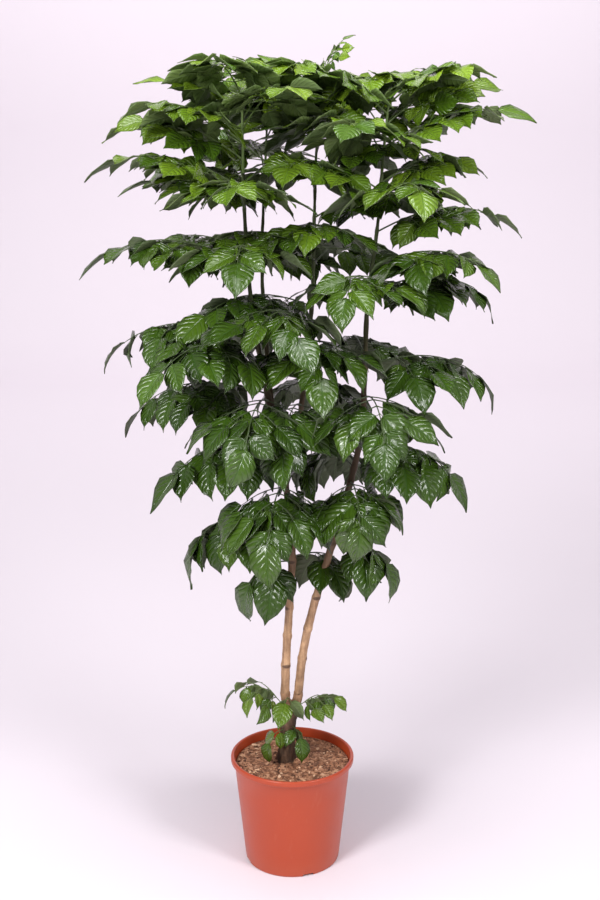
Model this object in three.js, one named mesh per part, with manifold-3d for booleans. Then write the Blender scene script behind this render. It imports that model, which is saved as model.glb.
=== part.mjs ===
// Potted china doll plant, Radermachera sinica. Millimetres, +Z up.
// The origin is the centre of the pot's base, on the surface that the pot stands on.
// -Y is the plant's front. Headings are degrees round +Z, counted from +X.
import * as THREE from "three";
import { mergeVertices } from "three/addons/utils/BufferGeometryUtils.js";
import Module from "manifold-3d";

const wasm = await Module();
wasm.setup();

// Driving dimensions
const gap = 0.4; // between pieces that touch
const pot = {
  height: 243,
  rimRadius: 135,
  wallTopRadius: 127.5,
  baseRadius: 103.5,
  lipHeight: 13,
  wall: 2,
  floor: 3,
  segments: 48,
};
const drain = { count: 4, firstHeading: -70, width: 24, height: 6, depth: 12, overshoot: 10 };
const soil = { height: 224, mound: 2, segments: 32, wallGap: 0.7, footBevel: 4.5 };
const forkTop = 386; // the trunk base ends here and the two stems begin
const shootStart = 1500; // the woody stems end here and their green tip shoots begin
const stemSides = 8;
const slabSize = 600; // across, of a slab that trims a stem's end
const cutDepth = 300; // through that slab
const petiole = { radius: 1.9, tipRadius: 1.2, sides: 3, steps: 4 };
const pinnaRadius = 1.1;
const blade = { widthShare: 0.62, widestAt: 0.38, ridge: 3.5 };
const clearance = 0.5; // kept between pieces of different leaves
const touching = 0.001; // cubic millimetres: less than this in common isn't a clash
const spineSteps = 12;
const nearEnd = 0.98; // where the last leaflet sits on its stalk
const droopPower = 1.6; // how late along its stalk a leaf bends down
const fullLeafLength = 160; // shorter leaves have fewer leaflets
const leafHeights = { lowest: 600, highest: 1600 };
// What a crown leaf has at the lowest and the highest of those: degrees, and the leaflet's length.
const crownShape = { droop: [68, 44], leaflet: [102, 70], hang: [44, 4], rise: [10, 40] };
const hangs = { youngest: 24, basal: 48 }; // degrees that short leaves' leaflets hang
const endHang = 0.4; // share of the hang that a leaflet at a stalk's end has

// Where a piece meets another leaf, these changes are tried in turn: degrees, and a leaflet's size.
const tries = {
  stalkSwings: [0, 5, -5, 10, -10, 15, -15, 22, -22],
  sideDroops: [0, 8, -8, 16, -16],
  leafletSizes: [1, 0.8],
  leafletSwings: [0, 14, -14, 28, -28],
  leafletLifts: [0, -14, 14, -28],
};

const finishes = {
  terracottaPlastic: { color: 0xc4603f, roughness: 0.42, metalness: 0 },
  pottingMix: { color: 0x7d6451, roughness: 0.95, metalness: 0 },
  oldBark: { color: 0x5d4232, roughness: 0.9, metalness: 0 },
  youngBark: { color: 0xb98f66, roughness: 0.7, metalness: 0 },
  leafGreen: { color: 0x2c5220, roughness: 0.28, metalness: 0 },
  youngLeafGreen: { color: 0x56803a, roughness: 0.35, metalness: 0 },
};

// Stems: points along the axis, then the radius at the lowest and the highest point.
const trunkBase = {
  root: {
    points: [[-14, 0, 190], [-12, 0, 240], [-9, 0, 300], [-3, 0, 352]],
    radii: [22, 15],
    steps: 5,
    sides: 10,
  },
  left: { points: [[-3, 0, 330], [-12, 0, 362], [-16, 0, 400]], radii: [13, 9.8], steps: 3, sides: 8 },
  right: { points: [[-1, 0, 330], [8, 0, 360], [15, -1, 400]], radii: [13, 9.8], steps: 3, sides: 8 },
};
const stems = {
  left: {
    node: "left_stem",
    points: [
      [-16, 0, 375], [-13, -1, 470], [-5, -3, 601], [0, -5, 724], [-13, -4, 860], [-36, -10, 985],
      [-60, -28, 1110], [-80, -48, 1245], [-90, -64, 1400], [-93, -78, 1560], [-92, -84, 1650],
    ],
    radii: [9.8, 2.2],
    steps: 22,
  },
  right: {
    node: "right_stem",
    points: [
      [12, 0, 375], [22, -4, 470], [40, -10, 567], [76, -16, 700], [112, -22, 830], [142, -30, 972],
      [148, -35, 1100], [152, -40, 1245], [170, -46, 1405], [178, -50, 1530], [188, -52, 1640],
    ],
    radii: [9.8, 2.2],
    steps: 22,
  },
  rear: {
    node: "rear_branch",
    points: [
      [-36, -10, 985], [-46, 34, 1075], [-58, 76, 1190], [-62, 100, 1330], [-56, 118, 1480],
      [-48, 124, 1640],
    ],
    radii: [5, 2],
    steps: 10,
  },
  middle: {
    node: "middle_branch",
    points: [
      [-13, -4, 860], [10, 26, 960], [28, 44, 1080], [42, 52, 1240], [46, 54, 1400], [50, 50, 1540],
      [62, 46, 1668],
    ],
    radii: [6, 2],
    steps: 12,
  },
};

// Crown leaves: stem, height on the stem, heading, length of the stalk from stem to last leaflet.
const crownLeaves = [
  ["left", 690, 205, 100],
  ["left", 700, 20, 125],
  ["left", 790, 182, 205],
  ["left", 860, 262, 240],
  ["left", 945, 198, 220],
  ["left", 1055, 172, 265],
  ["left", 1040, 262, 280],
  ["left", 1150, 226, 260],
  ["left", 1175, 184, 268],
  ["left", 1215, 290, 260],
  ["left", 1330, 268, 240],
  ["left", 1360, 335, 230],
  ["left", 1325, 185, 265],
  ["left", 1430, 265, 250],
  ["left", 1450, 130, 220],
  ["left", 1468, 194, 245],
  ["rear", 1140, 140, 270],
  ["rear", 1290, 75, 260],
  ["rear", 1315, 152, 260],
  ["rear", 1430, 200, 240],
  ["rear", 1480, 96, 250],
  ["middle", 1020, 262, 270],
  ["middle", 1035, 80, 260],
  ["middle", 1145, 275, 280],
  ["middle", 1225, 215, 260],
  ["middle", 1310, 62, 260],
  ["middle", 1340, 215, 240],
  ["middle", 1405, 330, 250],
  ["middle", 1460, 258, 240],
  ["middle", 1485, 330, 240],
  ["right", 735, 345, 120],
  ["right", 870, 274, 180],
  ["right", 900, 112, 250],
  ["right", 945, 338, 200],
  ["right", 1050, 276, 270],
  ["right", 1115, 2, 230],
  ["right", 1130, 96, 250],
  ["right", 1265, 356, 215],
  ["right", 1275, 258, 260],
  ["right", 1315, 328, 230],
  ["right", 1385, 355, 228],
  ["right", 1465, 190, 230],
  ["right", 1430, 285, 240],
  ["right", 1480, 14, 165],
];

// Leaves of the tip shoots, in the same form.
const shootLeaves = [
  ["left", 1525, 168, 225],
  ["left", 1555, 215, 220],
  ["left", 1580, 300, 210],
  ["left", 1600, 60, 200],
  ["left", 1612, 188, 150],
  ["left", 1640, 250, 165],
  ["rear", 1515, 155, 230],
  ["rear", 1560, 70, 220],
  ["rear", 1575, 250, 210],
  ["rear", 1610, 0, 200],
  ["rear", 1615, 100, 165],
  ["middle", 1530, 280, 240],
  ["middle", 1550, 90, 220],
  ["middle", 1570, 205, 220],
  ["middle", 1605, 330, 210],
  ["middle", 1630, 250, 180],
  ["middle", 1650, 140, 165],
  ["right", 1545, 352, 225],
  ["right", 1525, 250, 220],
  ["right", 1565, 110, 210],
  ["right", 1590, 20, 200],
  ["right", 1610, 200, 200],
  ["right", 1628, 330, 170],
];

// Short leaves: stem, height, heading, length, rise and droop in degrees, leaflet length.
const youngestLeaves = [
  ["left", 1646, 120, 75, 70, 40, 30],
  ["rear", 1636, 200, 90, 74, 40, 30],
  ["middle", 1662, 20, 100, 82, 44, 28],
  ["right", 1636, 30, 85, 60, 40, 34],
];
const basalLeaves = [
  ["root", 322, 190, 160, 72, 96, 48],
  ["root", 300, 222, 60, 20, 80, 54],
  ["root", 305, 302, 52, 34, 90, 56],
  ["root", 340, 348, 108, 46, 52, 42],
  ["root", 346, 256, 70, 80, 96, 64],
];

// A leaf's pair of side stalks: place along the main stalk, angle from it, length as a share of the
// leaf's, and the leaflets each carries: one at its end, and on a full leaf one behind it.
const sideStalks = { at: 0.42, angle: 62, droop: 16 };
const fullSide = { share: 0.32, leaflets: [[0.5, 62, 0.85], [nearEnd, 0, 0.95]] };
const shortSide = { share: 0.22, leaflets: [[nearEnd, 0, 0.9]] };
// Leaflets on the main stalk: place along it, angle from it, size.
const stalkLeaflets = [
  [0.7, 62, 0.92],
  [0.7, -62, 0.92],
  [0.88, 50, 0.84],
  [0.88, -50, 0.84],
  [nearEnd, 0, 1],
];
const shortStalkLeaflets = stalkLeaflets.slice(2);

// Solids
function toSolid(geometry) {
  const bare = geometry.clone();
  bare.deleteAttribute("normal");
  bare.deleteAttribute("uv");
  const merged = mergeVertices(bare, 1e-4);
  return new wasm.Manifold(
    new wasm.Mesh({
      numProp: 3,
      vertProperties: new Float32Array(merged.attributes.position.array),
      triVerts: new Uint32Array(merged.index.array),
    }),
  );
}

function toMesh(name, solid, finish) {
  const mesh = solid.getMesh();
  const geometry = new THREE.BufferGeometry();
  geometry.setAttribute("position", new THREE.BufferAttribute(mesh.vertProperties, 3));
  geometry.setIndex(new THREE.BufferAttribute(mesh.triVerts, 1));
  geometry.computeVertexNormals();
  const made = new THREE.Mesh(geometry, new THREE.MeshStandardMaterial(finish));
  made.name = name;
  return made;
}

function join(solids) {
  return solids.reduce((whole, solid) => whole.add(solid));
}

function largestBody(solid) {
  return solid.decompose().sort((a, b) => b.volume() - a.volume())[0];
}

function curveThrough(points) {
  return new THREE.CatmullRomCurve3(points.map((p) => (p.isVector3 ? p : new THREE.Vector3(...p))));
}

// A round stem: a straight cylinder bent along the curve, with its own radius at each step.
function bentTube(curve, steps, sides, radiusAt) {
  const tube = new THREE.CylinderGeometry(1, 1, 1, sides, steps);
  const frames = curve.computeFrenetFrames(steps, false);
  const position = tube.attributes.position;
  for (let i = 0; i < position.count; i++) {
    const share = position.getY(i) + 0.5;
    const step = Math.round(share * steps);
    const radius = radiusAt(share);
    const point = curve
      .getPointAt(step / steps)
      .addScaledVector(frames.normals[step], position.getX(i) * radius)
      .addScaledVector(frames.binormals[step], -position.getZ(i) * radius);
    position.setXYZ(i, point.x, point.y, point.z);
  }
  return toSolid(tube);
}

function stemSolid(stem, extra = 0) {
  const radiusAt = (share) => THREE.MathUtils.lerp(...stem.radii, share) + extra;
  return bentTube(curveThrough(stem.points), stem.steps, stem.sides ?? stemSides, radiusAt);
}

// Everything near the stems between two heights, to cut with.
function slab(from, to) {
  const box = new THREE.BoxGeometry(slabSize, slabSize, to - from);
  return toSolid(box.translate(0, 0, (from + to) / 2));
}

// Pot
function potWallRadius(height) {
  const share = height / (pot.height - pot.lipHeight);
  return THREE.MathUtils.lerp(pot.baseRadius, pot.wallTopRadius, share);
}

function potSolid() {
  const { height, rimRadius, wallTopRadius, baseRadius, lipHeight, wall, floor } = pot;
  const underLip = height - lipHeight;
  const outline = [
    [0, 0],
    [baseRadius - 4, 0],
    [baseRadius - 1, 1.2],
    [potWallRadius(5), 5],
    [wallTopRadius, underLip],
    [rimRadius - 2.6, underLip + 1.2],
    [rimRadius - 0.4, underLip + 3.6],
    [rimRadius, height - 5],
    [rimRadius - 0.9, height - 1.8],
    [rimRadius - 3.2, height],
    [rimRadius - 6.2, height - 0.8],
    [wallTopRadius - wall + 0.6, underLip + 3],
    [potWallRadius(floor + 4) - wall, floor + 4],
    [potWallRadius(floor) - wall - 4, floor],
    [0, floor],
  ];
  const shell = toSolid(latheAboutZ(outline, pot.segments));
  return shell.subtract(join(drainCuts()));
}

function latheAboutZ(outline, segments) {
  const lathe = new THREE.LatheGeometry(outline.map(([r, z]) => new THREE.Vector2(r, z)), segments);
  return lathe.rotateX(Math.PI / 2);
}

function drainCuts() {
  const { count, firstHeading, width, height, depth, overshoot } = drain;
  return Array.from({ length: count }, (_, i) => {
    const box = new THREE.BoxGeometry(depth + overshoot, width, height + 1);
    box.translate(pot.baseRadius + (overshoot - depth) / 2, 0, (height - 1) / 2);
    return toSolid(box.rotateZ(THREE.MathUtils.degToRad(firstHeading + (i * 360) / count)));
  });
}

function soilSolid(trunkClearance) {
  const bottom = pot.floor + gap;
  const top = soil.height;
  const inside = (height) => potWallRadius(height) - pot.wall - soil.wallGap;
  const outline = [
    [0, bottom],
    [inside(bottom) - soil.footBevel, bottom],
    [inside(bottom + 5), bottom + 5],
    [inside(top - 1), top - 1],
    [inside(top) - 6, top],
    [inside(top) * 0.6, top + soil.mound * 0.7],
    [0, top + soil.mound],
  ];
  return toSolid(latheAboutZ(outline, soil.segments)).subtract(trunkClearance);
}

// Wood
function trunkBaseSolid(extra = 0) {
  const whole = join(Object.values(trunkBase).map((limb) => stemSolid(limb, extra)));
  return whole.subtract(slab(forkTop, forkTop + cutDepth));
}

function startsAtFork(stem) {
  return stem.points[0][2] < forkTop;
}

function stemPiece(stem, extra = 0) {
  const shootRoom = slab(shootStart + extra, shootStart + cutDepth);
  const tube = stemSolid(stem, extra).subtract(shootRoom);
  return startsAtFork(stem) ? tube.subtract(slab(forkTop + gap - cutDepth, forkTop + gap)) : tube;
}

function shootAxis(stem, extra = 0) {
  return stemSolid(stem, extra).subtract(slab(0, shootStart + gap - extra));
}

// Compound leaves
function alongStem(stem, height) {
  const curve = curveThrough(stem.points);
  let low = 0;
  let high = 1;
  while (high - low > 1e-4) {
    const middle = (low + high) / 2;
    if (curve.getPointAt(middle).z < height) low = middle;
    else high = middle;
  }
  return curve.getPointAt(low);
}

function crownLeaf([stem, height, heading, length]) {
  const { lowest, highest } = leafHeights;
  const age = THREE.MathUtils.clamp((height - lowest) / (highest - lowest), 0, 1);
  const { droop, leaflet, hang, rise } = crownShape;
  return {
    base: alongStem(stems[stem], height),
    heading,
    length,
    rise: THREE.MathUtils.lerp(...rise, age ** 2),
    droop: THREE.MathUtils.lerp(...droop, age),
    leaflet: THREE.MathUtils.lerp(...leaflet, age),
    hang: THREE.MathUtils.lerp(...hang, age),
    full: length > fullLeafLength,
  };
}

function shortLeaf([stem, height, heading, length, rise, droop, leaflet], hang) {
  const base = alongStem(stems[stem] ?? trunkBase[stem], height);
  return { base, heading, length, rise, droop, leaflet, hang, full: false };
}

// Directions at a share of the main stalk: along it, to its left, and up out of the leaf.
function leafAxes(leaf, share) {
  const heading = THREE.MathUtils.degToRad(leaf.heading);
  const climb = THREE.MathUtils.degToRad(leaf.rise - leaf.droop * share ** droopPower);
  const along = new THREE.Vector3(
    Math.cos(climb) * Math.cos(heading),
    Math.cos(climb) * Math.sin(heading),
    Math.sin(climb),
  );
  const left = new THREE.Vector3(-Math.sin(heading), Math.cos(heading), 0);
  return { along, left, up: new THREE.Vector3().crossVectors(along, left) };
}

function spinePoints(leaf) {
  const points = [leaf.base.clone()];
  for (let i = 0; i < spineSteps; i++) {
    const { along } = leafAxes(leaf, (i + 0.5) / spineSteps);
    points.push(points[i].clone().addScaledVector(along, leaf.length / spineSteps));
  }
  return points;
}

function spinePoint(points, share) {
  const place = share * (points.length - 1);
  const step = Math.min(Math.floor(place), points.length - 2);
  return points[step].clone().lerp(points[step + 1], place - step);
}

function turned(axes, angle) {
  const a = THREE.MathUtils.degToRad(angle);
  return axes.along.clone().multiplyScalar(Math.cos(a)).addScaledVector(axes.left, Math.sin(a));
}

function lowered(direction, angle) {
  const a = THREE.MathUtils.degToRad(angle);
  const down = new THREE.Vector3(0, 0, -1);
  return direction.clone().multiplyScalar(Math.cos(a)).addScaledVector(down, Math.sin(a)).normalize();
}

// A leaflet's blade: a thin wedge with its ridge along the midrib and its two flanks below.
function leafletBlade(base, direction, up, length, extra = 0) {
  const across = new THREE.Vector3().crossVectors(up, direction).normalize();
  const normal = new THREE.Vector3().crossVectors(direction, across);
  const halfWidth = (length * blade.widthShare) / 2 + extra;
  const middle = base.clone().addScaledVector(direction, length * blade.widestAt);
  const flankDrop = blade.ridge + 2 * extra;
  const corners = [
    base.clone().addScaledVector(direction, -extra).addScaledVector(normal, extra),
    base.clone().addScaledVector(direction, length + extra).addScaledVector(normal, extra),
    middle.clone().addScaledVector(across, halfWidth).addScaledVector(normal, extra - flankDrop),
    middle.clone().addScaledVector(across, -halfWidth).addScaledVector(normal, extra - flankDrop),
  ];
  const geometry = new THREE.BufferGeometry().setFromPoints(corners);
  geometry.setIndex([0, 1, 2, 1, 0, 3, 0, 2, 3, 2, 1, 3]);
  return toSolid(geometry);
}

// Every piece of every leaf, each tested against what the other leaves already hold.
const held = [];

function boxesMeet(a, b) {
  return [0, 1, 2].every((i) => a.min[i] < b.max[i] && b.min[i] < a.max[i]);
}

// A leaf may meet itself and the shoot that it grows from.
function isFree(leaf, solid) {
  const box = solid.boundingBox();
  return !held.some((other) => {
    if (other.owner === leaf.name || other.owner === leaf.node) return false;
    return boxesMeet(box, other.box) && other.solid.intersect(solid).volume() > touching;
  });
}

function hold(owner, solid) {
  held.push({ owner, solid, box: solid.boundingBox() });
}

function stalk(points, radii, steps, extra) {
  const radiusAt = (share) => THREE.MathUtils.lerp(...radii, share) + extra;
  return bentTube(curveThrough(points), steps, petiole.sides, radiusAt);
}

function growStalk(leaf) {
  const stride = spineSteps / petiole.steps;
  for (const swing of tries.stalkSwings) {
    const tried = { ...leaf, heading: leaf.heading + swing };
    tried.points = spinePoints(tried).filter((_, i) => i % stride === 0);
    const radii = [petiole.radius, petiole.tipRadius];
    const wide = stalk(tried.points, radii, petiole.steps, clearance).subtract(woodClearance);
    if (!isFree(leaf, wide)) continue;
    hold(leaf.name, wide);
    const whole = stalk(tried.points, radii, petiole.steps, 0).subtract(woodClearance);
    return { ...tried, solids: [largestBody(whole)] };
  }
  throw new Error(leaf.name + " has no room for its stalk");
}

function growSideStalks(leaf) {
  leaf.sides = [];
  const { share } = leaf.full ? fullSide : shortSide;
  const axes = leafAxes(leaf, sideStalks.at);
  const from = spinePoint(leaf.points, sideStalks.at);
  for (const side of [1, -1]) {
    for (const extraDroop of tries.sideDroops) {
      const along = lowered(turned(axes, side * sideStalks.angle), sideStalks.droop + extraDroop);
      const points = [from, from.clone().addScaledVector(along, share * leaf.length)];
      const radii = [pinnaRadius, pinnaRadius];
      const wide = stalk(points, radii, 1, clearance);
      if (!isFree(leaf, wide)) continue;
      hold(leaf.name, wide);
      leaf.solids.push(stalk(points, radii, 1, 0));
      const left = new THREE.Vector3().crossVectors(axes.up, along).normalize();
      leaf.sides.push({ side, points, axes: { along, left, up: axes.up } });
      break;
    }
  }
}

function growLeaflet(leaf, base, axes, angle, size) {
  const hang = leaf.hang * (angle === 0 ? endHang : 1);
  for (const shrink of tries.leafletSizes) {
    const length = leaf.leaflet * size * shrink;
    for (const swing of tries.leafletSwings) {
      for (const lift of tries.leafletLifts) {
        const direction = lowered(turned(axes, angle + swing), hang + lift);
        const wide = leafletBlade(base, direction, axes.up, length, clearance);
        if (!isFree(leaf, wide)) continue;
        hold(leaf.name, wide);
        leaf.solids.push(leafletBlade(base, direction, axes.up, length));
        return;
      }
    }
  }
}

function growLeaflets(leaf) {
  for (const [at, angle, size] of leaf.full ? stalkLeaflets : shortStalkLeaflets) {
    growLeaflet(leaf, spinePoint(leaf.points, at), leafAxes(leaf, at), angle, size);
  }
  for (const { side, points, axes } of leaf.sides) {
    for (const [at, angle, size] of (leaf.full ? fullSide : shortSide).leaflets) {
      growLeaflet(leaf, spinePoint(points, at), axes, side * angle, size);
    }
  }
}

// Assembly
const plant = new THREE.Group();
const trunkBaseRoom = trunkBaseSolid(gap);
const wood = Object.values(stems).map((stem) => ({ stem, room: stemPiece(stem, gap) }));
const woodClearance = join([trunkBaseRoom, ...wood.map(({ room }) => room)]);
const potRoomRadius = pot.rimRadius + 1;
const potRoom = new THREE.CylinderGeometry(potRoomRadius, potRoomRadius, pot.height, pot.segments);
potRoom.rotateX(Math.PI / 2);
hold("pot", toSolid(potRoom.translate(0, 0, pot.height / 2 + pot.floor)));
hold("wood", trunkBaseSolid());
for (const { stem } of wood) hold("wood", stemPiece(stem));

plant.add(toMesh("pot", potSolid(), finishes.terracottaPlastic));
plant.add(toMesh("potting_soil", soilSolid(trunkBaseRoom), finishes.pottingMix));
plant.add(toMesh("trunk_base", trunkBaseSolid(), finishes.oldBark));

const mainStemRooms = wood.filter(({ stem }) => startsAtFork(stem)).map(({ room }) => room);
for (const { stem } of wood) {
  const whole = stemPiece(stem);
  const piece = startsAtFork(stem) ? whole : largestBody(whole.subtract(join(mainStemRooms)));
  plant.add(toMesh(stem.node, piece, finishes.youngBark));
}

const leaves = [];
const counts = {};
for (const row of crownLeaves) {
  counts[row[0]] = (counts[row[0]] ?? 0) + 1;
  const name = `${row[0]}_leaf_${String(counts[row[0]]).padStart(2, "0")}`;
  leaves.push({ name, node: name, ...crownLeaf(row) });
}
shootLeaves.forEach((row, i) => {
  const node = `${row[0]}_tip_shoot`;
  leaves.push({ name: `shoot_leaf_${i}`, node, ...crownLeaf(row) });
});
youngestLeaves.forEach((row, i) => {
  const node = `${row[0]}_tip_shoot`;
  leaves.push({ name: `youngest_leaf_${i}`, node, ...shortLeaf(row, hangs.youngest) });
});
basalLeaves.forEach((row, i) => {
  const name = `basal_leaf_${i + 1}`;
  leaves.push({ name, node: name, ...shortLeaf(row, hangs.basal) });
});

const shootAxes = {};
for (const [key, stem] of Object.entries(stems)) {
  const node = `${key}_tip_shoot`;
  shootAxes[node] = shootAxis(stem);
  hold(node, shootAxis(stem, clearance));
}

const grown = leaves.map(growStalk);
grown.forEach(growSideStalks);
grown.forEach(growLeaflets);
for (const node of new Set(grown.map((leaf) => leaf.node))) {
  const solids = grown.filter((leaf) => leaf.node === node).flatMap((leaf) => leaf.solids);
  if (shootAxes[node]) solids.push(shootAxes[node]);
  const isCrownLeaf = node.includes("_leaf_") && !node.startsWith("basal");
  plant.add(toMesh(node, join(solids), isCrownLeaf ? finishes.leafGreen : finishes.youngLeafGreen));
}

export default plant;
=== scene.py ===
import math
import random

import bmesh
import bpy
from mathutils import Matrix, Vector, noise


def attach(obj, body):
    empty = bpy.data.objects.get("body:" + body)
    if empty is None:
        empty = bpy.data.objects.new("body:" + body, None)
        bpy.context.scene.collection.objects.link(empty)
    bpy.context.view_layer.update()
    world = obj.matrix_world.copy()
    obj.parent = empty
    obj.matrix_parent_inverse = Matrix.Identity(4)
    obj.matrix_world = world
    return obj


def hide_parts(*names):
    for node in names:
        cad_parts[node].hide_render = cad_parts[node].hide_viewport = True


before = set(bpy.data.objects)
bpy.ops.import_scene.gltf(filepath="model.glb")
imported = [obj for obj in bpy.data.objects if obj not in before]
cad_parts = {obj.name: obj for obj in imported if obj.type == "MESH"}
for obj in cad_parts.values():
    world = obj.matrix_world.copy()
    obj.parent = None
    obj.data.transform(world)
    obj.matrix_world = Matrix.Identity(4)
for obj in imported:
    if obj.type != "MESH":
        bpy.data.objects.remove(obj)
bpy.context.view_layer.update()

# A potted china doll plant. Metres, +Z up, the plant's front towards -Y.
# The leaf plan and the stems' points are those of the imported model.

scene = bpy.context.scene
chance = random.Random(27)


def lerp(low, high, share):
    return low + (high - low) * share


def clamp(value, low=0.0, high=1.0):
    return max(low, min(high, value))


# ---- camera, lights and stage ----

studio = {
    "camera": (0.017, -2.72, 1.61),
    "tilt": 14.0,  # degrees down from level
    "lens": 53.9,
    "floorColor": (0.775, 0.714, 0.770),
    "patchColor": (0.770, 0.705, 0.765),
    "reach": 12.0,  # of the floor, to the sides and the front
    "wallDistance": 7.0,
    "wallHeight": 6.0,
    "wallBend": 1.5,
    "worldColor": (1.0, 0.955, 1.0),
    "worldStrength": 0.36,
}
# Each softbox: its place, what it faces, its size and its power in watts.
softboxes = {
    "softboxLeft": ((-1.9, -2.7, 2.9), (0, 0, 1.0), (1.1, 1.1), 120),
    "softboxRight": ((2.2, -2.2, 2.7), (0, 0, 1.0), (0.9, 0.9), 64),
    "overhead": ((0.0, -0.6, 3.6), (0, 0, 0.8), (1.5, 1.5), 62),
    "wallWash": ((0.0, 3.6, 5.4), (0, studio["wallDistance"], 2.4), (8.0, 1.5), 255),
}


def makeCamera():
    data = bpy.data.cameras.new("camera")
    data.lens = studio["lens"]
    camera = bpy.data.objects.new("camera", data)
    camera.location = studio["camera"]
    camera.rotation_euler = (math.radians(90 - studio["tilt"]), 0, 0)
    scene.collection.objects.link(camera)
    scene.camera = camera


def makeLight(name, place, target, size, power):
    data = bpy.data.lights.new(name, "AREA")
    data.shape = "RECTANGLE"
    data.size, data.size_y = size
    data.energy = power
    light = bpy.data.objects.new(name, data)
    light.location = place
    light.rotation_euler = (Vector(target) - Vector(place)).to_track_quat("-Z", "Y").to_euler()
    scene.collection.objects.link(light)


def makeWorld():
    world = bpy.data.worlds.new("studioAir")
    world.use_nodes = True
    background = world.node_tree.nodes["Background"]
    background.inputs["Color"].default_value = (*studio["worldColor"], 1)
    background.inputs["Strength"].default_value = studio["worldStrength"]
    scene.world = world
    scene.view_settings.view_transform = "Standard"


makeCamera()
for name, settings in softboxes.items():
    makeLight(name, *settings)
makeWorld()
print("camera and lights ready")


# ---- shader helpers ----

class Wire:  # one output socket, usable in sums
    def __init__(self, paint, socket):
        self.paint = paint
        self.socket = socket

    def math(self, operation, *others):
        sockets = dict(enumerate((self, *others)))
        return self.paint.node("ShaderNodeMath", {"operation": operation}, sockets)

    def __add__(self, other):
        return self.math("ADD", other)

    __radd__ = __add__

    def __mul__(self, other):
        return self.math("MULTIPLY", other)

    __rmul__ = __mul__

    def __sub__(self, other):
        return self.math("SUBTRACT", other)

    def __rsub__(self, other):
        return (self * -1) + other

    def __pow__(self, other):
        return self.math("POWER", other)

    def __abs__(self):
        return self.math("ABSOLUTE")

    def clamped(self):
        return self.math("MAXIMUM", 0).math("MINIMUM", 1)

    def smooth(self, low, high):
        settings = {"interpolation_type": "SMOOTHSTEP"}
        sockets = {"Value": self, "From Min": low, "From Max": high, "To Min": 0.0, "To Max": 1.0}
        return self.paint.node("ShaderNodeMapRange", settings, sockets)


class Paint:  # one material and its nodes
    def __init__(self, name, **constants):
        self.material = bpy.data.materials.new(name)
        self.material.use_nodes = True
        self.tree = self.material.node_tree
        self.shader = self.tree.nodes["Principled BSDF"]
        for socket, value in constants.items():
            self.shader.inputs[socket.replace("_", " ")].default_value = value

    def node(self, kind, settings=None, sockets=None, output=0):
        made = self.tree.nodes.new(kind)
        for key, value in (settings or {}).items():
            if key == "stops":
                self.setStops(made.color_ramp, value)
            else:
                setattr(made, key, value)
        for key, value in (sockets or {}).items():
            if isinstance(value, Wire):
                self.tree.links.new(value.socket, made.inputs[key])
            else:
                made.inputs[key].default_value = value
        return Wire(self, made.outputs[output])

    def setStops(self, ramp, stops):
        while len(ramp.elements) < len(stops):
            ramp.elements.new(0.5)
        for element, (position, color) in zip(ramp.elements, stops):
            element.position = position
            element.color = (*color, 1)

    def mix(self, share, a, b):
        a, b = [(*c, 1) if isinstance(c, tuple) else c for c in (a, b)]
        return self.node("ShaderNodeMix", {"data_type": "RGBA"}, {0: share, 6: a, 7: b}, 2)

    def ramp(self, share, stops):
        return self.node("ShaderNodeValToRGB", {"stops": stops}, {"Fac": share})

    def place(self):
        return self.node("ShaderNodeTexCoord", output="Object")

    def height(self):
        return self.node("ShaderNodeSeparateXYZ", {}, {0: self.place()}, 2)

    def grain(self, scale, detail=4.0, roughness=0.55, vector=None):
        sockets = {"Vector": vector or self.place(), "Scale": scale}
        sockets |= {"Detail": detail, "Roughness": roughness}
        return self.node("ShaderNodeTexNoise", {}, sockets)

    def cells(self, scale, vector=None, output="Distance"):
        sockets = {"Vector": vector or self.place(), "Scale": scale}
        return self.node("ShaderNodeTexVoronoi", {}, sockets, output)

    def attribute(self, name):
        return self.node("ShaderNodeAttribute", {"attribute_name": name}, output="Fac")

    def stretched(self, scale):
        return self.node("ShaderNodeMapping", {}, {"Vector": self.place(), "Scale": scale})

    def finish(self, color, roughness, height=None, depth=0.001, strength=1.0):
        self.tree.links.new(color.socket, self.shader.inputs["Base Color"])
        self.tree.links.new(roughness.socket, self.shader.inputs["Roughness"])
        if height is not None:
            sockets = {"Strength": strength, "Distance": depth, "Height": height}
            bump = self.node("ShaderNodeBump", {}, sockets)
            self.tree.links.new(bump.socket, self.shader.inputs["Normal"])
        return self.material


# ---- materials ----

def leafVeins(paint):
    spot = paint.node("ShaderNodeUVMap", {"uv_map": "leafMap"})
    across = paint.node("ShaderNodeSeparateXYZ", {}, {0: spot}, 0)
    along = paint.node("ShaderNodeSeparateXYZ", {}, {0: spot}, 1)
    side = across - 0.5
    out = abs(side) * 2
    stagger = side.math("GREATER_THAN", 0) * 0.4
    phase = along * 6.6 - out * 1.2 - out * out * 0.9 + stagger
    fromVein = abs(phase.math("FRACT") - 0.5) * 2  # 1 on a side vein, 0 midway between two
    midrib = 1 - out.smooth(0.0, 0.06)
    sideVein = fromVein.smooth(0.88, 1.0)
    uneven = paint.grain(55, 2) * 0.7 + 0.6
    quilt = (1 - fromVein ** 2.2) * out.smooth(0.03, 0.35) * uneven
    return midrib, sideVein, quilt


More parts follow.
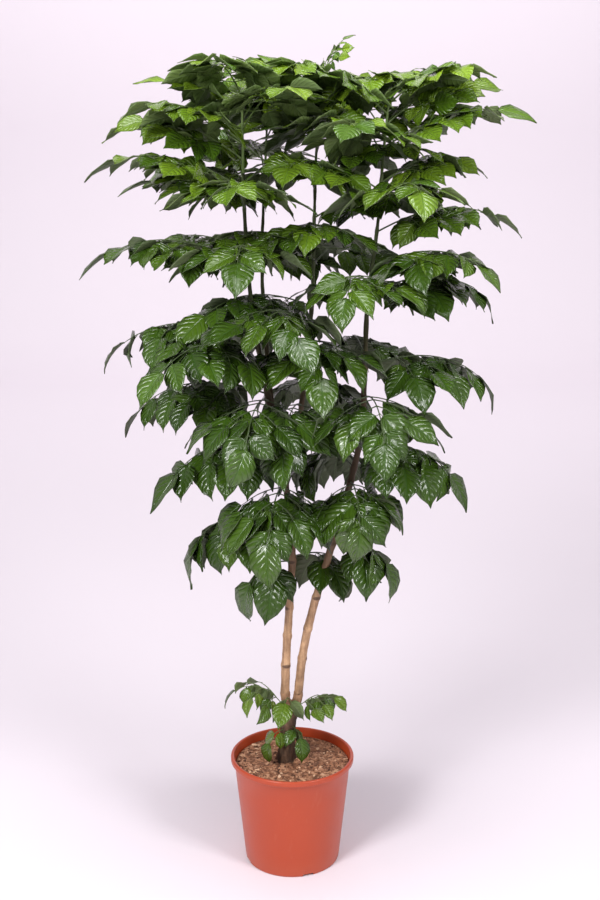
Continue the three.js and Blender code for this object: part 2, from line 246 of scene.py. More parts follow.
def leafTopPaint():
    paint = Paint("leafTop", Coat_Weight=0.25, Coat_Roughness=0.12)
    midrib, sideVein, quilt = leafVeins(paint)
    tone = paint.attribute("tone")
    youth = paint.attribute("youth")
    mottle = paint.grain(70, 3)
    patches = (tone * 0.7 + mottle * 0.5).clamped()
    old = paint.mix(patches, (0.016, 0.040, 0.003), (0.052, 0.112, 0.008))
    # Young leaves are a lighter green, and this colour is also brightened as a painted glow of light
    # shining through the thin young blades.
    young = paint.mix(tone, (0.062, 0.140, 0.006), (0.210, 0.330, 0.016))
    blade = paint.mix(youth, old, young)
    pale = paint.mix(youth, (0.050, 0.125, 0.025), (0.20, 0.33, 0.05))
    veins = (midrib * 0.55 + sideVein * 0.16).clamped()
    color = paint.mix(veins, blade, pale)
    fine = paint.grain(900, 2)
    height = quilt + fine * 0.05 - midrib * 0.7
    roughness = paint.grain(140, 3) * 0.12 + 0.17
    return paint.finish(color, roughness, height, 0.0021, 0.9)


def leafUnderPaint():
    paint = Paint("leafUnderside")
    midrib, sideVein, quilt = leafVeins(paint)
    tone = paint.attribute("tone")
    youth = paint.attribute("youth")
    old = paint.mix(tone, (0.060, 0.084, 0.036), (0.100, 0.125, 0.062))
    young = paint.mix(tone, (0.095, 0.155, 0.036), (0.160, 0.235, 0.055))
    blade = paint.mix(youth, old, young)
    color = paint.mix((midrib * 0.7 + sideVein * 0.4).clamped(), blade, (0.17, 0.25, 0.11))
    roughness = paint.grain(120, 3) * 0.15 + 0.48
    return paint.finish(color, roughness, (midrib + sideVein) * 0.6 - quilt * 0.6, 0.0014, 0.8)


def stalkPaint():
    paint = Paint("leafStalk")
    youth = paint.attribute("youth")
    mottle = paint.grain(160, 4)
    old = paint.mix(mottle, (0.030, 0.055, 0.018), (0.085, 0.120, 0.040))
    young = paint.mix(mottle, (0.10, 0.17, 0.035), (0.17, 0.24, 0.06))
    color = paint.mix(youth, old, young)
    ribs = paint.grain(60, 3, vector=paint.stretched((6, 6, 1)))
    return paint.finish(color, mottle * 0.2 + 0.38, ribs, 0.0006, 0.6)


def youngBarkPaint():
    paint = Paint("paleBark")
    height = paint.height()
    mottle = paint.grain(34, 6, 0.65)
    streaks = paint.grain(46, 5, 0.6, paint.stretched((5, 5, 0.45)))
    tan = paint.ramp(mottle * 0.6 + streaks * 0.5, [
        (0.36, (0.130, 0.070, 0.036)),
        (0.50, (0.330, 0.190, 0.102)),
        (0.70, (0.600, 0.370, 0.210)),
    ])
    specks = paint.cells(330, paint.stretched((1, 1, 2.4)))
    dots = 1 - specks.smooth(0.12, 0.26)
    speckled = paint.mix(dots * mottle.smooth(0.42, 0.6) * 0.75, tan, (0.16, 0.075, 0.04))
    brown = paint.mix(mottle, (0.055, 0.032, 0.018), (0.150, 0.090, 0.045))
    green = paint.mix(mottle, (0.040, 0.060, 0.018), (0.100, 0.130, 0.040))
    scar = (paint.attribute("scar") * (mottle + 0.5)).smooth(0.25, 0.7)
    speckled = paint.mix(scar * 0.85, speckled, (0.075, 0.038, 0.024))
    shaded = (height + mottle * 0.1).smooth(0.66, 0.84)
    greening = (height + mottle * 0.16).smooth(1.05, 1.45)
    color = paint.mix(greening, paint.mix(shaded, speckled, brown), green)
    rough = streaks * 0.25 + 0.5
    return paint.finish(color, rough, streaks + dots * 0.5 + mottle * 0.5, 0.0011, 0.8)


def oldBarkPaint():
    paint = Paint("oldBark")
    height = paint.height()
    flakes = paint.grain(55, 7, 0.7, paint.stretched((1.6, 1.6, 0.55)))
    cracks = paint.cells(95, paint.stretched((1.5, 1.5, 0.5)))
    dark = paint.ramp(flakes, [
        (0.30, (0.020, 0.012, 0.008)),
        (0.50, (0.085, 0.046, 0.026)),
        (0.72, (0.230, 0.130, 0.075)),
    ])
    tan = paint.mix(flakes, (0.20, 0.10, 0.05), (0.48, 0.27, 0.15))
    color = paint.mix((height + flakes * 0.05).smooth(0.365, 0.415), dark, tan)
    return paint.finish(color, flakes * 0.2 + 0.68, flakes * 1.2 + cracks * 0.5, 0.004, 0.9)


def potPaint():
    paint = Paint("terracottaPlastic", Coat_Weight=0.24, Coat_Roughness=0.24)
    height = paint.height()
    cloud = paint.grain(7, 4)
    scuffs = paint.grain(60, 6, 0.7, paint.stretched((1, 1, 0.3)))
    body = paint.mix(cloud, (0.400, 0.041, 0.006), (0.462, 0.057, 0.010))
    dusty = scuffs.smooth(0.56, 0.72) * 0.08 + (1 - height.smooth(0.0, 0.05)) * 0.08
    color = paint.mix(dusty, body, (0.55, 0.22, 0.13))
    roughness = scuffs * 0.22 + cloud * 0.08 + 0.28
    orangePeel = paint.grain(420, 3)
    return paint.finish(color, roughness, orangePeel + scuffs * 0.4, 0.00025, 0.6)


def soilPaint():
    paint = Paint("pottingMix")
    lumps = paint.grain(38, 8, 0.72)
    bits = paint.cells(190, output="Color")
    value = paint.node("ShaderNodeSeparateColor", {}, {0: bits}, 0)
    base = paint.ramp(lumps * 0.62 + value * 0.4, [
        (0.27, (0.070, 0.025, 0.012)),
        (0.47, (0.240, 0.098, 0.048)),
        (0.64, (0.430, 0.205, 0.110)),
        (0.86, (0.680, 0.400, 0.250)),
    ])
    return paint.finish(base, lumps * 0.1 + 0.86, lumps + value * 0.6, 0.004, 1.0)


def crumbPaint():
    paint = Paint("soilCrumbs")
    tone = paint.attribute("tone")
    grain = paint.grain(260, 5, 0.7)
    color = paint.ramp(tone * 0.8 + grain * 0.25, [
        (0.12, (0.060, 0.021, 0.011)),
        (0.38, (0.240, 0.102, 0.052)),
        (0.64, (0.470, 0.235, 0.130)),
        (0.92, (0.780, 0.520, 0.340)),
    ])
    return paint.finish(color, grain * 0.15 + 0.8, grain, 0.0012, 0.8)


def stagePaint():
    paint = Paint("studioPaper", Specular_IOR_Level=0.0)
    base = paint.mix(paint.grain(0.8, 2) * 0.05, studio["floorColor"], studio["patchColor"])
    return paint.finish(base, paint.grain(3, 2) * 0.05 + 0.9)


paints = {
    "leafTop": leafTopPaint(),
    "leafUnder": leafUnderPaint(),
    "stalk": stalkPaint(),
    "youngBark": youngBarkPaint(),
    "oldBark": oldBarkPaint(),
    "pot": potPaint(),
    "soil": soilPaint(),
    "crumbs": crumbPaint(),
    "stage": stagePaint(),
}
print("materials ready")


# ---- mesh helpers ----

def newObject(name, bm, materials):
    mesh = bpy.data.meshes.new(name)
    bm.to_mesh(mesh)
    bm.free()
    made = bpy.data.objects.new(name, mesh)
    for material in materials:
        mesh.materials.append(material)
    scene.collection.objects.link(made)
    return made


def applyModifiers(piece):
    graph = bpy.context.evaluated_depsgraph_get()
    mesh = bpy.data.meshes.new_from_object(piece.evaluated_get(graph))
    piece.modifiers.clear()
    piece.data = mesh
    mesh.polygons.foreach_set("use_smooth", [True] * len(mesh.polygons))
    return mesh


def present(piece, slot, *nodes):
    if nodes:
        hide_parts(*nodes)
    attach(piece, "root")


def spinOutline(outline, steps):  # an outline of (radius, height) turned round the Z axis
    bm = bmesh.new()
    verts = [bm.verts.new((radius, 0, height)) for radius, height in outline]
    edges = [bm.edges.new(pair) for pair in zip(verts, verts[1:])]
    bmesh.ops.spin(bm, geom=verts + edges, cent=(0, 0, 0), axis=(0, 0, 1),
                   angle=math.tau, steps=steps, use_merge=True, use_duplicate=False)
    bmesh.ops.remove_doubles(bm, verts=bm.verts[:], dist=1e-6)
    bmesh.ops.recalc_face_normals(bm, faces=bm.faces[:])
    return bm


def tubesMesh(tubes, sides=1):  # each tube is a list of (point, radius), joined in one mesh
    curve = bpy.data.curves.new("tubes", "CURVE")
    curve.dimensions = "3D"
    curve.bevel_depth = 1.0
    curve.bevel_resolution = sides
    curve.use_fill_caps = True
    for tube in tubes:
        spline = curve.splines.new("POLY")
        spline.points.add(len(tube) - 1)
        for spot, (point, radius) in zip(spline.points, tube):
            spot.co = (*point, 1)
            spot.radius = radius
    holder = bpy.data.objects.new("tubes", curve)
    mesh = bpy.data.meshes.new_from_object(holder)
    bpy.data.objects.remove(holder)
    bpy.data.curves.remove(curve)
    return mesh


# ---- stage ----

def makeStage():
    bm = bmesh.new()
    reach, wall, bend = studio["reach"], studio["wallDistance"], studio["wallBend"]
    bendSteps = 8
    path = [(-reach, 0.0), (wall - bend, 0.0)]
    for i in range(1, bendSteps + 1):
        turn = i / bendSteps * math.pi / 2
        path.append((wall - bend + bend * math.sin(turn), bend - bend * math.cos(turn)))
    path.append((wall, studio["wallHeight"]))
    verts = [bm.verts.new((-reach, y, z)) for y, z in path]
    edges = [bm.edges.new(pair) for pair in zip(verts, verts[1:])]
    swept = bmesh.ops.extrude_edge_only(bm, edges=edges)["geom"]
    moved = [v for v in swept if isinstance(v, bmesh.types.BMVert)]
    bmesh.ops.translate(bm, vec=(2 * reach, 0, 0), verts=moved)
    bmesh.ops.recalc_face_normals(bm, faces=bm.faces[:])
    for face in bm.faces:
        face.smooth = True
    backdrop = newObject("backdrop", bm, [paints["stage"]])


makeStage()


# ---- pot and soil ----

pot = {
    "height": 0.243,
    "rim": 0.135,
    "wallTop": 0.1275,
    "base": 0.1035,
    "lip": 0.013,
    "wall": 0.002,
    "floor": 0.003,
    "footRound": 0.003,
    "lipUnderRound": 0.0026,
    "lipTopRound": 0.0036,
    "ringHeights": [0.06, 0.12, 0.18],  # where the wall has rings of points
    "steps": 144,
    "drains": 4,
    "firstDrain": -70,  # degrees from +X
    "drainSize": (0.022, 0.024, 0.0067),
    "drainEdge": 0.0012,
    "sharpAngle": 34,
}


def potRadius(height):
    return lerp(pot["base"], pot["wallTop"], height / (pot["height"] - pot["lip"]))


def arc(centre, radius, start, end, count):
    turns = [math.radians(lerp(start, end, i / count)) for i in range(count + 1)]
    return [(centre[0] + radius * math.cos(t), centre[1] + radius * math.sin(t)) for t in turns]


def makePot():
    top, rim, wall, floor = pot["height"], pot["rim"], pot["wall"], pot["floor"]
    foot, under, over = pot["footRound"], pot["lipUnderRound"], pot["lipTopRound"]
    rings = pot["ringHeights"]
    underLip = top - pot["lip"]
    outline = [(0, 0.0004), (0.060, 0.0004), (0.0615, 0.0)]  # the base, hollow in the middle
    outline += arc((pot["base"] - foot, foot), foot, -90, 0, 5)
    outline += [(potRadius(z), z) for z in (0.008, *rings, underLip - 0.002)]
    outline += [(pot["wallTop"] + 0.0008, underLip - 0.0003)]
    outline += arc((rim - under, underLip + under), under, -90, 0, 4)
    outline += arc((rim - over, top - over), over, 0, 110, 8)
    outline += [(rim - 0.0068, top - 0.0014), (pot["wallTop"] - wall + 0.0012, top - 0.006)]
    outline += [(potRadius(z) - wall, z) for z in (underLip, *reversed(rings), floor + 0.004)]
    outline += [(potRadius(floor) - wall - 0.004, floor), (0, floor)]
    body = newObject("potBody", spinOutline(outline, pot["steps"]), [paints["pot"]])

    depth, width, height = pot["drainSize"]
    cutter = bmesh.new()
    for i in range(pot["drains"]):
        heading = pot["firstDrain"] + 360 / pot["drains"] * i
        turn = Matrix.Rotation(math.radians(heading), 4, "Z")
        spot = Matrix.Translation((pot["base"] - depth / 2 + 0.008, 0, height / 2 - 0.0012))
        size = Matrix.Diagonal((depth, width, height, 1))
        cube = bmesh.ops.create_cube(cutter, size=1, matrix=turn @ spot @ size)
        edges = list({edge for vert in cube["verts"] for edge in vert.link_edges})
        bmesh.ops.bevel(cutter, geom=edges, offset=pot["drainEdge"], segments=2, profile=0.5,
                        affect="EDGES", material=-1)
    knife = newObject("drainCutter", cutter, [paints["pot"]])
    cut = body.modifiers.new("drains", "BOOLEAN")
    cut.operation = "DIFFERENCE"
    cut.solver = "EXACT"
    cut.object = knife
    mesh = applyModifiers(body)
    bpy.data.objects.remove(knife)
    mesh.set_sharp_from_angle(angle=math.radians(pot["sharpAngle"]))
    present(body, "pot", "pot")


soil = {
    "height": 0.224,
    "mound": 0.003,
    "bumps": 0.0042,
    "fineBumps": 0.0016,
    "heap": 0.006,  # height of the soil heaped against the trunk
    "heapRadius": 0.03,
    "wallGap": 0.0007,
    "floorGap": 0.0006,
    "steps": 120,
    "rings": 34,
}
trunkFoot = Vector((-0.0125, 0.0))


def potInside(height):
    return potRadius(height) - pot["wall"]


def soilHeight(x, y):
    reach = math.hypot(x, y) / potInside(soil["height"])
    bumps = noise.fractal(Vector((x, y, 0)) * 42, 1.0, 2.1, 4) * soil["bumps"]
    bumps += noise.fractal(Vector((x, y, 3)) * 190, 0.8, 2.2, 3) * soil["fineBumps"]
    away = (x - trunkFoot.x) ** 2 + (y - trunkFoot.y) ** 2
    heap = soil["heap"] * math.exp(-away / soil["heapRadius"] ** 2)
    return soil["height"] + soil["mound"] * (1 - reach ** 2) + bumps * (1 - reach ** 10) + heap


def makeSoil():
    bottom, footEdge = pot["floor"] + soil["floorGap"], 0.005
    edge = potInside(soil["height"]) - soil["wallGap"]
    outline = [(edge * i / soil["rings"], soil["height"]) for i in range(soil["rings"] + 1)]
    outline += [(potInside(bottom + footEdge) - soil["wallGap"], bottom + footEdge)]
    outline += [(potInside(bottom) - 0.006, bottom), (0, bottom)]
    bm = spinOutline(outline, soil["steps"])
    for vert in bm.verts:
        if vert.co.z > soil["height"] - 0.001:
            vert.co.z = soilHeight(vert.co.x, vert.co.y)
    for face in bm.faces:
        face.smooth = True
    present(newObject("soilBed", bm, [paints["soil"]]), "soil", "potting_soil")


crumbs = {
    "count": 560,
    "smallest": 0.0010,
    "largest": 0.0036,
    "barkChips": 46,
    "chipLength": 0.0085,
    "wallGap": 0.006,
    "trunkGap": 0.03,  # from the middle of the trunk's foot
}


def addToned(bm, mesh, matrix, tones):
    before = len(bm.verts)
    bm.from_mesh(mesh)
    bm.verts.ensure_lookup_table()
    fresh = bm.verts[before:]
    bmesh.ops.transform(bm, matrix=matrix, verts=fresh)
    for name, value in tones.items():
        layer = bm.verts.layers.float[name]
        for vert in fresh:
            vert[layer] = value


def lumpMesh(kind):
    bm = bmesh.new()
    if kind == "crumb":
        bmesh.ops.create_icosphere(bm, subdivisions=1, radius=1)
    else:
        bmesh.ops.create_cube(bm, size=1.6)
        bmesh.ops.bevel(bm, geom=bm.edges[:], offset=0.25, segments=1, profile=0.5,
                        affect="EDGES", material=-1)
    for vert in bm.verts:
        vert.co *= 1 + 0.35 * noise.noise(vert.co * 1.7 + Vector((5, 2, len(kind))))
    mesh = bpy.data.meshes.new(kind)
    bm.to_mesh(mesh)
    bm.free()
    return mesh


def makeCrumbs():
    bm = bmesh.new()
    bm.verts.layers.float.new("tone")
    crumb, chip = lumpMesh("crumb"), lumpMesh("chip")
    reach = potInside(soil["height"]) - crumbs["wallGap"]
    for i in range(crumbs["count"] + crumbs["barkChips"]):
        isChip = i >= crumbs["count"]
        radius = reach * math.sqrt(chance.random())
        turn = chance.uniform(0, math.tau)
        x, y = radius * math.cos(turn), radius * math.sin(turn)
        if math.hypot(x - trunkFoot.x, y - trunkFoot.y) < crumbs["trunkGap"]:
            continue
        spin = Matrix.Rotation(chance.uniform(0, math.tau), 4, "Z")
        tilt = Matrix.Rotation(chance.uniform(-0.5, 0.5), 4, "X")
        if isChip:
            length = crumbs["chipLength"] * chance.uniform(0.4, 1.0)
            shape = Vector((1, chance.uniform(0.3, 0.6), 0.18)) * length
            lift = length * 0.05
            tone = chance.uniform(0.55, 1.0)
        else:
            length = lerp(crumbs["smallest"], crumbs["largest"], chance.random() ** 2)
            shape = Vector((1, chance.uniform(0.6, 1), chance.uniform(0.5, 0.8))) * length
            lift = length * 0.2
            tone = chance.random() ** 1.9
        size = Matrix.Diagonal((*shape, 1))
        spot = Matrix.Translation((x, y, soilHeight(x, y) + lift))
        addToned(bm, chip if isChip else crumb, spot @ spin @ tilt @ size, {"tone": tone})
    present(newObject("soilCrumbs", bm, [paints["crumbs"]]), "soil")


makePot()
makeSoil()
makeCrumbs()
print("pot and soil ready")


# ---- stems ----

stems = {
    "root": {
        "points": [(-0.014, 0, 0.190), (-0.012, 0, 0.240), (-0.009, 0, 0.300), (-0.003, 0, 0.352)],
        "radii": (0.022, 0.015),
        "arms": [  # points and radii of the fork's two arms
            [((-0.004, 0, 0.330), 0.0125), ((-0.009, 0, 0.350), 0.0122),
             ((-0.0145, 0, 0.372), 0.0108), ((-0.016, 0, 0.390), 0.0100)],
            [((-0.002, 0, 0.330), 0.0125), ((0.004, 0, 0.350), 0.0122),
             ((0.011, 0, 0.372), 0.0108), ((0.0142, 0, 0.390), 0.0100)],
        ],
    },
    "left": {
        "points": [
            (-0.016, 0, 0.375), (-0.013, -0.001, 0.470), (-0.005, -0.003, 0.601), (0, -0.005, 0.724),
            (-0.013, -0.004, 0.860), (-0.036, -0.010, 0.985), (-0.060, -0.028, 1.110),
            (-0.080, -0.048, 1.245), (-0.090, -0.064, 1.400), (-0.093, -0.078, 1.560),
            (-0.092, -0.084, 1.650),
        ],
        "radii": (0.0098, 0.0022),
    },
    "right": {
        "points": [
            (0.012, 0, 0.375), (0.022, -0.004, 0.470), (0.040, -0.010, 0.567), (0.076, -0.016, 0.700),
            (0.112, -0.022, 0.830), (0.142, -0.030, 0.972), (0.148, -0.035, 1.100),
            (0.152, -0.040, 1.245), (0.170, -0.046, 1.405), (0.178, -0.050, 1.530),
            (0.188, -0.052, 1.640),
        ],
        "radii": (0.0098, 0.0022),
    },
    "rear": {
        "points": [
            (-0.036, -0.010, 0.985), (-0.046, 0.034, 1.075), (-0.058, 0.076, 1.190),
            (-0.062, 0.100, 1.330), (-0.056, 0.118, 1.480), (-0.048, 0.124, 1.640),
        ],
        "radii": (0.005, 0.002),
    },
    "middle": {
        "points": [
            (-0.013, -0.004, 0.860), (0.010, 0.026, 0.960), (0.028, 0.044, 1.080), (0.042, 0.052, 1.240),
            (0.046, 0.054, 1.400), (0.050, 0.050, 1.540), (0.062, 0.046, 1.668),
        ],
        "radii": (0.006, 0.002),
    },
}


# The trunk's foot: heights, a spread as a share of the radius, and ridges round it.
flare = {
    "bottom": 0.205,
    "top": 0.358,
    "steps": 32,
    "widest": 0.215,
    "spread": 0.42,
    "fade": 0.016,
    "slimming": 0.96,
    "middle": -0.012,  # along X
    "ridges": 5,
    "ridgeTwist": 22,
    "ridgeDepth": 0.0035,
    "ridgeTop": 0.262,
    "ridgeFade": 0.05,
    "voxel": 0.0013,
}
# Nodes are the rings where leaves grow, and scars are what fallen leaves left on them.
bark = {
    "step": 0.0035,
    "nodeLength": 0.006,
    "nodeSwelling": 0.16,  # share of the stem's radius
    "scarLength": 0.0042,
    "scarTurn": 2.4,  # radians from one node's scar to the next
    "firstScar": 1.9,
}


def stemPoint(points, height):  # a smooth curve through the points, read by its height
    points = [Vector(p) for p in points]
    last = len(points) - 1
    i = next((k for k in range(last) if points[k + 1].z >= height), last - 1)
    before, after = points[max(i - 1, 0)], points[min(i + 2, last)]
    start, end = points[i], points[i + 1]
    span = end.z - start.z
    share = clamp((height - start.z) / span)
    slopeIn = (end - before) / (end.z - before.z) * span
    slopeOut = (after - start) / (after.z - start.z) * span
    a, b = share ** 2, share ** 3
    ends = start * (2 * b - 3 * a + 1) + end * (3 * a - 2 * b)
    return ends + slopeIn * (b - 2 * a + share) + slopeOut * (b - a)


def stemRadius(stem, height):
    low, high = stem["points"][0][2], stem["points"][-1][2]
    return lerp(*stem["radii"], clamp((height - low) / (high - low)))


def roughen(bm, scale, amount, stretch):
    bm.normal_update()
    for vert in bm.verts:
        spot = Vector((vert.co.x, vert.co.y, vert.co.z * stretch)) * scale
        vert.co += vert.normal * noise.fractal(spot, 0.9, 2.1, 4) * amount


def stemTube(stem, start, end, step, nodes=()):
    count = max(2, round((end - start) / step))
    tube = []
    for i in range(count + 1):
        height = lerp(start, end, i / count)
        swelling = sum(math.exp(-((height - node) / bark["nodeLength"]) ** 2) for node in nodes)
        point = stemPoint(stem["points"], height)
        tube.append((point, stemRadius(stem, height) * (1 + bark["nodeSwelling"] * swelling)))
    return tube


def flareTube():  # the trunk below its fork, wider towards the soil
    root = stems["root"]
    tube = []
    for i in range(flare["steps"] + 1):
        height = lerp(flare["bottom"], flare["top"], i / flare["steps"])
        spread = 1 + flare["spread"] * math.exp(-(height - flare["widest"]) / flare["fade"])
        radius = stemRadius(root, height) * spread * flare["slimming"]
        tube.append((stemPoint(root["points"], height), radius))
    return tube


def makeTrunkBase():
    bm = bmesh.new()
    bm.from_mesh(tubesMesh([flareTube(), *stems["root"]["arms"]], 7))
    for vert in bm.verts:  # root ridges that run down into the soil
        away = vert.co - Vector((flare["middle"], 0, 0))
        low = clamp((flare["ridgeTop"] - vert.co.z) / flare["ridgeFade"])
        wave = math.cos(math.atan2(away.y, away.x) * flare["ridges"] + vert.co.z * flare["ridgeTwist"])
        ridge = wave * flare["ridgeDepth"] * low
        vert.co += Vector((away.x, away.y, 0)).normalized() * ridge
    base = newObject("trunkBase", bm, [paints["oldBark"]])
    melt = base.modifiers.new("melt", "REMESH")  # joins the fork into one skin
    melt.mode = "VOXEL"
    melt.voxel_size = flare["voxel"]
    ease = base.modifiers.new("ease", "SMOOTH")
    ease.iterations = 6
    mesh = applyModifiers(base)
    skin = bmesh.new()
    skin.from_mesh(mesh)
    roughen(skin, 70, 0.0022, 0.45)
    skin.to_mesh(mesh)
    skin.free()
    present(base, "old_bark", "trunk_base")


def makeStem(key, name, node, start, end, nodes):
    stem = stems[key]
    bm = bmesh.new()
    bm.from_mesh(tubesMesh([stemTube(stem, start, end, bark["step"], nodes)], 5))
    bmesh.ops.remove_doubles(bm, verts=bm.verts[:], dist=1e-6)
    roughen(bm, 75, 0.0009, 0.5)
    scar = bm.verts.layers.float.new("scar")
    for vert in bm.verts:
        axis = stemPoint(stem["points"], vert.co.z)
        turn = math.atan2(vert.co.y - axis.y, vert.co.x - axis.x)
        for number, height in enumerate(nodes):
            facing = 0.5 + 0.5 * math.cos(turn - number * bark["scarTurn"] + bark["firstScar"])
            ring = math.exp(-((vert.co.z - height) / bark["scarLength"]) ** 2)
            vert[scar] += ring * facing ** 2
    for face in bm.faces:
        face.smooth = True
    present(newObject(name, bm, [paints["youngBark"]]), "young_bark", node)


# ---- leaves ----

# Each leaf: its stem, the height where it grows, its heading in degrees from +X, and its length.
crownLeaves = [
    ("left", 0.690, 205, 0.100),
    ("left", 0.700, 20, 0.125),
    ("left", 0.790, 182, 0.205),
    ("left", 0.860, 262, 0.240),
    ("left", 0.945, 198, 0.220),
    ("left", 1.055, 172, 0.265),
    ("left", 1.040, 262, 0.280),
    ("left", 1.150, 226, 0.260),
    ("left", 1.175, 184, 0.268),
    ("left", 1.215, 290, 0.260),
    ("left", 1.330, 268, 0.240),
    ("left", 1.360, 335, 0.230),
    ("left", 1.325, 185, 0.265),
    ("left", 1.430, 265, 0.250),
    ("left", 1.450, 130, 0.220),
    ("left", 1.468, 194, 0.245),
    ("rear", 1.140, 140, 0.270),
    ("rear", 1.290, 75, 0.260),
    ("rear", 1.315, 152, 0.260),
    ("rear", 1.430, 200, 0.240),
    ("rear", 1.480, 96, 0.250),
    ("middle", 1.020, 262, 0.270),
    ("middle", 1.035, 80, 0.260),
    ("middle", 1.145, 275, 0.280),
    ("middle", 1.225, 215, 0.260),
    ("middle", 1.310, 62, 0.260),
    ("middle", 1.340, 215, 0.240),
    ("middle", 1.405, 330, 0.250),
    ("middle", 1.460, 258, 0.240),
    ("middle", 1.485, 330, 0.240),
    ("right", 0.735, 345, 0.120),
    ("right", 0.870, 274, 0.180),
    ("right", 0.900, 112, 0.250),
    ("right", 0.945, 338, 0.200),
    ("right", 1.050, 276, 0.270),
    ("right", 1.115, 2, 0.230),
    ("right", 1.130, 96, 0.250),
    ("right", 1.265, 356, 0.215),
    ("right", 1.275, 258, 0.260),
    ("right", 1.315, 328, 0.230),
    ("right", 1.385, 355, 0.228),
    ("right", 1.465, 190, 0.230),
    ("right", 1.430, 285, 0.240),
    ("right", 1.480, 14, 0.165),
]
shootLeaves = [
    ("left", 1.525, 168, 0.225),
    ("left", 1.555, 215, 0.220),
    ("left", 1.580, 300, 0.210),
    ("left", 1.600, 60, 0.200),
    ("left", 1.612, 188, 0.150),
    ("left", 1.640, 250, 0.165),
    ("rear", 1.515, 155, 0.230),
    ("rear", 1.560, 70, 0.220),
    ("rear", 1.575, 250, 0.210),
    ("rear", 1.610, 0, 0.200),
    ("rear", 1.615, 100, 0.165),
    ("middle", 1.530, 280, 0.240),
    ("middle", 1.550, 90, 0.220),
    ("middle", 1.570, 205, 0.220),
    ("middle", 1.605, 330, 0.210),
    ("middle", 1.630, 250, 0.180),
    ("middle", 1.650, 140, 0.165),
    ("right", 1.545, 352, 0.225),
    ("right", 1.525, 250, 0.220),
    ("right", 1.565, 110, 0.210),
    ("right", 1.590, 20, 0.200),
    ("right", 1.610, 200, 0.200),
    ("right", 1.628, 330, 0.170),
]

# Short leaves add their rise and droop in degrees, and their leaflets' length.
youngestLeaves = [
    ("left", 1.646, 120, 0.075, 70, 40, 0.030),
    ("rear", 1.636, 200, 0.090, 74, 40, 0.030),
    ("middle", 1.662, 20, 0.100, 82, 44, 0.028),
    ("right", 1.636, 30, 0.085, 60, 40, 0.034),
]
basalLeaves = [
    ("root", 0.322, 190, 0.160, 72, 96, 0.048),
    ("root", 0.300, 222, 0.060, 20, 80, 0.054),
    ("root", 0.305, 302, 0.052, 34, 90, 0.056),
    ("root", 0.340, 348, 0.108, 46, 52, 0.042),
    ("root", 0.346, 256, 0.070, 80, 96, 0.064),
]

blade = {
    "across": 4,
    "outline": [  # place along the leaflet, share of its half width
        (0.0, 0.0), (0.09, 0.60), (0.29, 1.0), (0.52, 0.95), (0.73, 0.58), (0.88, 0.16), (1.0, 0.0),
    ],
    "width": 0.70,  # share of the length
    "thickness": 0.006,
    "variants": 12,
    "flattest": 10,  # degrees from base to tip
    "limpest": 66,
}

# Side stalks: place on the main stalk, angle from it, length as a share of the leaf's, pairs of
# leaflets on it. Then the leaflets that sit on the main stalk: place, angle, size.
fullPlan = {
    "sides": [(0.28, 68, 0.34, 2), (0.45, 63, 0.30, 2), (0.61, 58, 0.19, 1)],
    "leaflets": [
        (0.72, 62, 0.92), (0.74, -62, 0.92), (0.91, 52, 0.86), (0.92, -52, 0.86), (1.0, 0, 1.0),
    ],
}
budPlan = {
    "sides": [(0.40, 52, 0.42, 1), (0.64, 46, 0.30, 1)],
    "leaflets": [(0.84, 50, 0.8), (0.86, -50, 0.8), (1.0, 0, 1.0)],
}
sprigPlan = {
    "sides": [],
    "leaflets": [(0.45, 70, 0.75), (0.60, -66, 0.85), (1.0, 0, 1.0)],
}
shortPlan = {
    "sides": [(0.44, 58, 0.28, 1)],
    "leaflets": [(0.72, 60, 0.88), (0.74, -60, 0.88), (1.0, 0, 1.0)],
}
growth = {
    "fullLength": 0.16,  # crown leaves longer than this have the full plan
    "budLength": 0.07,  # short leaves longer than this have the bud plan
    "droopPower": 1.6,  # how late along its stalk a leaf bends down
    "endHang": 0.4,  # share of the hang that a leaflet at a stalk's end has
    "sideAngle": 58,  # of a leaflet from the side stalk that it sits on
    "sideSteps": 5,
    "sideRadii": (0.0013, 0.0008),
    "leafletRadii": (0.0008, 0.0006),
    "roll": 16,  # degrees, the usual turn of a leaflet about its midrib
    "limpSpread": 0.22,
}
leafHeights = {"lowest": 0.6, "span": 1.0}
# Leaves above these heights get the young colour, which is partly a painted glow of light shining
# through them.
youthHeights = {"lowest": 1.15, "span": 0.5, "power": 1.6}
# What a crown leaf has at the lowest and the highest of those: degrees, metres and a share.
crownShape = {
    "rise": (10, 40),
    "droop": (68, 44),
    "leaflet": (0.102, 0.070),
    "hang": (44, 4),
    "sideDroop": (24, 8),
    "limp": (0.75, 0.1),
}


